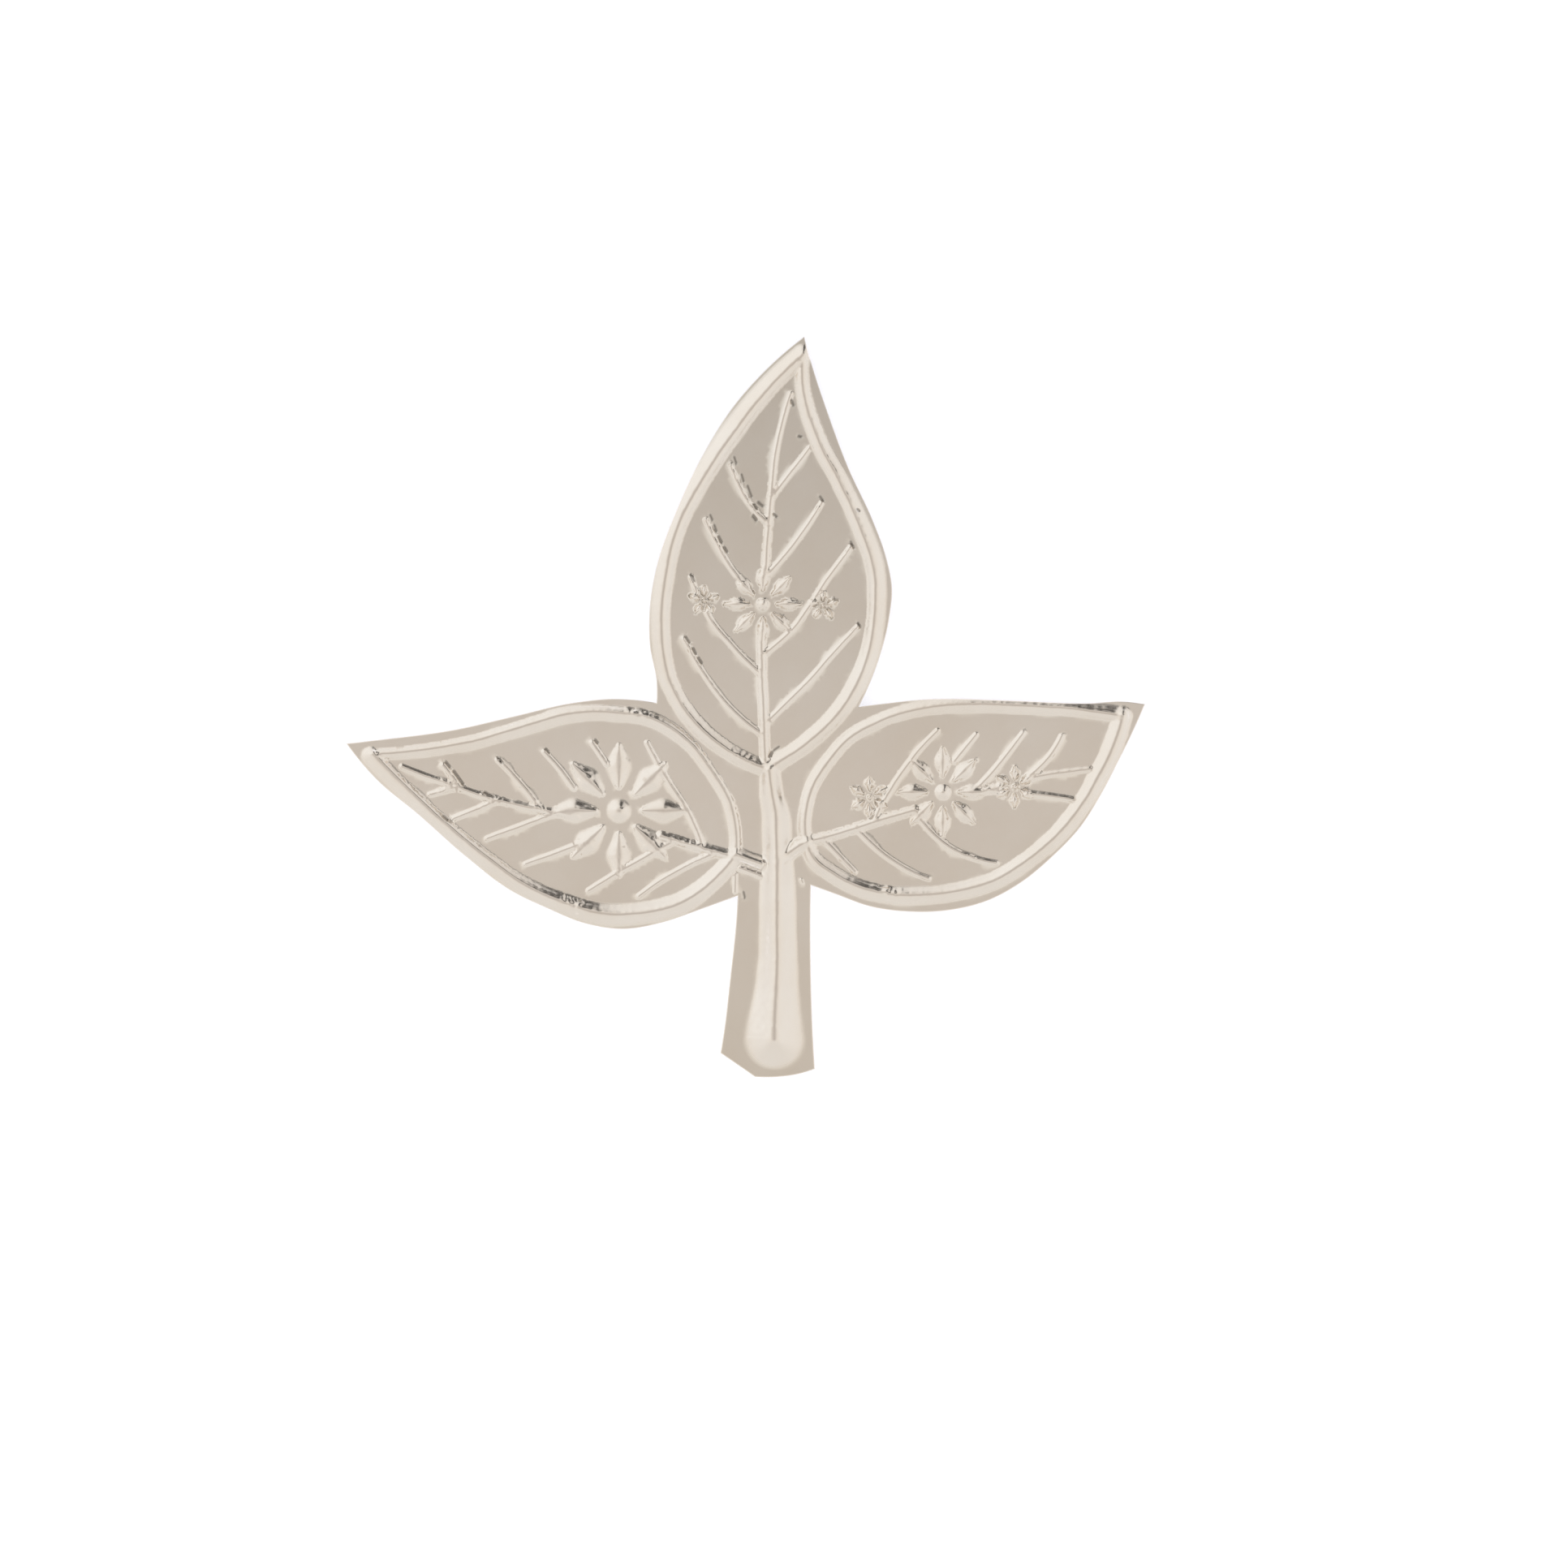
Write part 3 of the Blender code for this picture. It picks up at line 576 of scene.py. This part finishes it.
def pressed_leaf():
    """The leaf as one sheet with its relief, its thickness and a rounded edge.

    The trimmed outline is curved and the relief follows a formula, so the plan is divided and
    raised in code; the thickness is an extrusion.
    """
    ridges = all_ridges()
    flat, faces, depth = plan_of_sheet(ridges)
    raise_by = relief(flat, ridges)
    slopes = [(relief(flat + np.array(step), ridges) - raise_by) / SLOPE_PROBE
              for step in ((SLOPE_PROBE, 0.0), (0.0, SLOPE_PROBE))]
    upright = np.column_stack((-slopes[0], -slopes[1], np.ones(len(flat))))
    upright /= np.linalg.norm(upright, axis=1)[:, None]

    # the nicks' depth goes along too, for the shade that is painted into them
    leaf = flat_sheet(flat, faces, {
        "raise_by": raise_by, "polish": np.clip(raise_by / POLISH_FROM, 0, 1),
        "painted_nick_shade": nick_depth(flat), "edge_depth": depth, "upright": upright})

    mesh = leaf.data
    places = np.zeros(len(mesh.vertices) * 3)
    mesh.vertices.foreach_get("co", places)
    places = places.reshape(-1, 3)
    front = places[:, 2] > SHEET_THICKNESS * MM / 2
    depth = read_attribute(mesh, "edge_depth")
    drop = EDGE_ROUND - np.sqrt(np.clip(EDGE_ROUND ** 2 - (EDGE_ROUND - depth) ** 2, 0, None))
    raise_by = read_attribute(mesh, "raise_by")
    places[:, 2] = (raise_by + np.where(front, SHEET_THICKNESS - drop, drop)) * MM
    mesh.vertices.foreach_set("co", places.ravel())
    mesh.update()

    bpy.ops.object.shade_smooth()
    upright = read_attribute(mesh, "upright", 3)
    normals = np.where(front[:, None], upright, -upright)
    normals[depth < EDGE_ROUND] = 0     # which leaves the rounded edge the normals that it has
    mesh.normals_split_custom_set_from_vertices(normals)
    for name in ("raise_by", "edge_depth", "upright"):
        mesh.attributes.remove(mesh.attributes[name])
    return leaf


def linear(hex_colour):
    """A screen colour such as C4B8AD as the linear values that shaders use."""
    values = [int(hex_colour[i:i + 2], 16) / 255 for i in (0, 2, 4)]
    return [v / 12.92 if v <= 0.04045 else ((v + 0.055) / 1.055) ** 2.4 for v in values] + [1.0]


def add_node(tree, kind, inputs=None, **settings):
    """Adds a node, sets its settings, and sets or links its inputs."""
    node = tree.nodes.new(kind)
    for name, value in settings.items():
        setattr(node, name, value)
    for name, value in (inputs or {}).items():
        if isinstance(value, bpy.types.NodeSocket):
            tree.links.new(value, node.inputs[name])
        else:
            node.inputs[name].default_value = value
    return node


FIRST_COLOUR, SECOND_COLOUR, MIXED_COLOUR = 6, 7, 2     # the mix node's sockets for colours


def mix_colours(tree, share, first, second, blend_type="MIX"):
    """Adds a node that goes from the first colour to the second, and gives its result."""
    return add_node(tree, "ShaderNodeMix", {"Factor": share, FIRST_COLOUR: first, SECOND_COLOUR: second},
                    data_type="RGBA", blend_type=blend_type).outputs[MIXED_COLOUR]


def colour_along(tree, value, stops):
    """Adds a ramp with these colours at these values between 0 and 1, and gives its result."""
    ramp = add_node(tree, "ShaderNodeValToRGB", {"Fac": value})
    for number, (place, colour) in enumerate(stops):
        stop = ramp.color_ramp.elements[number] if number < 2 else ramp.color_ramp.elements.new(place)
        stop.position = place
        stop.color = linear(colour)
    return ramp.outputs["Color"]


# Finish of the silver
POLISH_FROM = 0.12              # relief this high or higher is polished
GROUND_ROUGHNESS = 0.34
RIDGE_ROUGHNESS = 0.19
GRAIN_SIZE = 0.16               # the grain of frosted silver is finer; this coarse, it shows
GRAIN_DEPTH = 0.004
RIDGE_GRAIN = 0.25              # share of the grain that rubbing leaves on the ridges
RIDGE_SILVER = "FAF7F4"
# painted shade: the dark tone that the colour in the nicks is mixed towards
NICK_SHADE_COLOUR = "4E4640"
CLOUDS = ("FFFFFF", "F2ECE4")   # faint clouds that the silver's colour is multiplied by
CLOUD_SIZE = 9.0
STEM_FOOT, TOP_TIP = -27.8, 27.8
# The satin ground's colour from the stem's foot to the top tip, darker towards the top tip
GROUND_TONES = [(0.0, "F6F2EB"), (0.4, "FDFAF6"), (1.0, "E4E2DE")]


def pressed_silver():
    """Pressed fine silver: a satin, finely grained ground that the die left, and ridges that are
    polished by rubbing. Silver is the whitest metal, a little warm."""
    material = bpy.data.materials.new("pressed_silver")
    material.use_nodes = True
    tree = material.node_tree
    tree.nodes.clear()
    place = add_node(tree, "ShaderNodeTexCoord").outputs["Object"]
    polish = add_node(tree, "ShaderNodeAttribute", attribute_name="polish").outputs["Fac"]
    up = add_node(tree, "ShaderNodeSeparateXYZ", {"Vector": place}).outputs["Y"]
    up = add_node(tree, "ShaderNodeMapRange", {"Value": up, "From Min": STEM_FOOT * MM,
                                               "From Max": TOP_TIP * MM})
    frosted = colour_along(tree, up.outputs["Result"], GROUND_TONES)
    colour = mix_colours(tree, polish, frosted, linear(RIDGE_SILVER))
    clouds = add_node(tree, "ShaderNodeTexNoise", {"Vector": place, "Scale": 1 / (CLOUD_SIZE * MM),
                                                   "Detail": 5.0, "Roughness": 0.65})
    clouds = mix_colours(tree, clouds.outputs["Fac"], *(linear(tone) for tone in CLOUDS))
    colour = mix_colours(tree, 1.0, colour, clouds, blend_type="MULTIPLY")
    # painted shade in the nicks: the colour darkens with a point's depth in a nick
    painted_nick_shade = add_node(tree, "ShaderNodeAttribute", attribute_name="painted_nick_shade").outputs["Fac"]
    painted_nick_shade = add_node(tree, "ShaderNodeMath", {0: painted_nick_shade, 1: NICK_SHADE_SHARE}, operation="MULTIPLY")
    colour = mix_colours(tree, painted_nick_shade.outputs["Value"], colour, linear(NICK_SHADE_COLOUR))
    grain = add_node(tree, "ShaderNodeTexNoise", {"Vector": place, "Scale": 1 / (GRAIN_SIZE * MM),
                                                  "Detail": 3.0, "Roughness": 0.6})
    roughness = add_node(tree, "ShaderNodeMapRange", {"Value": polish, "To Min": GROUND_ROUGHNESS,
                                                      "To Max": RIDGE_ROUGHNESS})
    frost = add_node(tree, "ShaderNodeMapRange", {"Value": polish, "To Min": 1.0, "To Max": RIDGE_GRAIN})
    bump = add_node(tree, "ShaderNodeBump", {"Height": grain.outputs["Fac"], "Distance": GRAIN_DEPTH * MM,
                                             "Strength": frost.outputs["Result"]})
    shader = add_node(tree, "ShaderNodeBsdfPrincipled", {
        "Base Color": colour, "Metallic": 1.0,
        "Roughness": roughness.outputs["Result"], "Normal": bump.outputs["Normal"]})
    add_node(tree, "ShaderNodeOutputMaterial", {"Surface": shader.outputs["BSDF"]})
    return material


# The studio
FLOOR_SIZE = 600.0
FLOOR_DROP = 0.03               # it lies this far under the leaf, so that they don't share a plane
FLOOR_WHITE = "F7F7F7"
FLOOR_ROUGHNESS = 0.8
FLOOR_GLOW = "E6EDFF"
FLOOR_GLOW_STRENGTH = 0.5


def white_floor():
    """A matt white table, lit a little from within like a light table."""
    bpy.ops.object.select_all(action="DESELECT")
    bpy.ops.mesh.primitive_plane_add(size=FLOOR_SIZE * MM, location=(0, 0, -FLOOR_DROP * MM))
    floor = bpy.context.object
    floor.name = "white_floor"
    material = bpy.data.materials.new("matt_white_acrylic")
    material.use_nodes = True
    shader = material.node_tree.nodes["Principled BSDF"]
    shader.inputs["Base Color"].default_value = linear(FLOOR_WHITE)
    shader.inputs["Roughness"].default_value = FLOOR_ROUGHNESS
    shader.inputs["Emission Color"].default_value = linear(FLOOR_GLOW)
    shader.inputs["Emission Strength"].default_value = FLOOR_GLOW_STRENGTH
    floor.data.materials.append(material)


# The tent round the leaf, as colours at heights over the floor: 1 is straight up
TENT = [(0.0, "EFECE8"), (0.5, "F1EDE7"), (0.78, "EDE7DF"), (0.93, "D8D1C9"), (1.0, "C4BCB5")]
STAND_BLACK = "1E1C1B"
# What is seen against it: its direction from +Y towards +X and its tilt from straight up, how wide it
# is in full and with its soft edge, all in degrees, and its colour
SEEN = [
    (180, 80, 25, 70, "E8E4DE"),    # the wooden bench in front
    (-50, 65, 15, 45, "FAF8F4"),    # the window
    (30, 60, 10, 32, "DED8D1"),     # a grey curtain behind the leaf
    (16, 38, 3, 9, STAND_BLACK),    # the camera stand in front of it: its head,
    (16, 56, 6, 12, STAND_BLACK),   # its post
    (16, 75, 6, 12, STAND_BLACK),   # and its foot
    (43, 41, 7, 12, STAND_BLACK),   # and the camera's arm
]
PALE_BACKDROP = "FFFFFF"


def soft_tent():
    """A white tent with a duller opening overhead, and what stands round it."""
    world = bpy.data.worlds.new("soft_tent")
    bpy.context.scene.world = world
    world.use_nodes = True
    tree = world.node_tree
    tree.nodes.clear()
    direction = add_node(tree, "ShaderNodeTexCoord").outputs["Generated"]
    parts = add_node(tree, "ShaderNodeSeparateXYZ", {"Vector": direction})
    colour = colour_along(tree, parts.outputs["Z"], TENT)
    for bearing, tilt, full, faded, seen_colour in SEEN:
        bearing, tilt = radians(bearing), radians(tilt)
        towards = add_node(tree, "ShaderNodeVectorMath", {0: direction, 1: (
            sin(tilt) * sin(bearing), sin(tilt) * cos(bearing), cos(tilt))}, operation="DOT_PRODUCT")
        there = add_node(tree, "ShaderNodeMapRange", {
            "Value": towards.outputs["Value"], "From Min": cos(radians(faded)),
            "From Max": cos(radians(full))}, interpolation_type="SMOOTHSTEP")
        colour = mix_colours(tree, there.outputs["Result"], colour, linear(seen_colour))
    by_camera = add_node(tree, "ShaderNodeLightPath").outputs["Is Camera Ray"]
    shown = mix_colours(tree, by_camera, colour, linear(PALE_BACKDROP))
    background = add_node(tree, "ShaderNodeBackground", {"Color": shown, "Strength": 1.0})
    add_node(tree, "ShaderNodeOutputWorld", {"Surface": background.outputs["Background"]})


def camera_overhead():
    """A long lens that looks straight down on the leaf."""
    data = bpy.data.cameras.new("overhead")
    data.sensor_width = SENSOR_WIDTH
    data.lens = SENSOR_WIDTH * CAMERA_HEIGHT / FRAME_WIDTH
    camera = bpy.data.objects.new("overhead", data)
    camera.location = (FRAME_CENTRE[0] * MM, FRAME_CENTRE[1] * MM, CAMERA_HEIGHT * MM)
    bpy.context.scene.collection.objects.link(camera)
    bpy.context.scene.camera = camera


leaf = pressed_leaf()
leaf.data.materials.append(pressed_silver())
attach(leaf, "root")
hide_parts("silver_leaf")
white_floor()
soft_tent()
camera_overhead()
bpy.context.scene.view_settings.view_transform = "Standard"
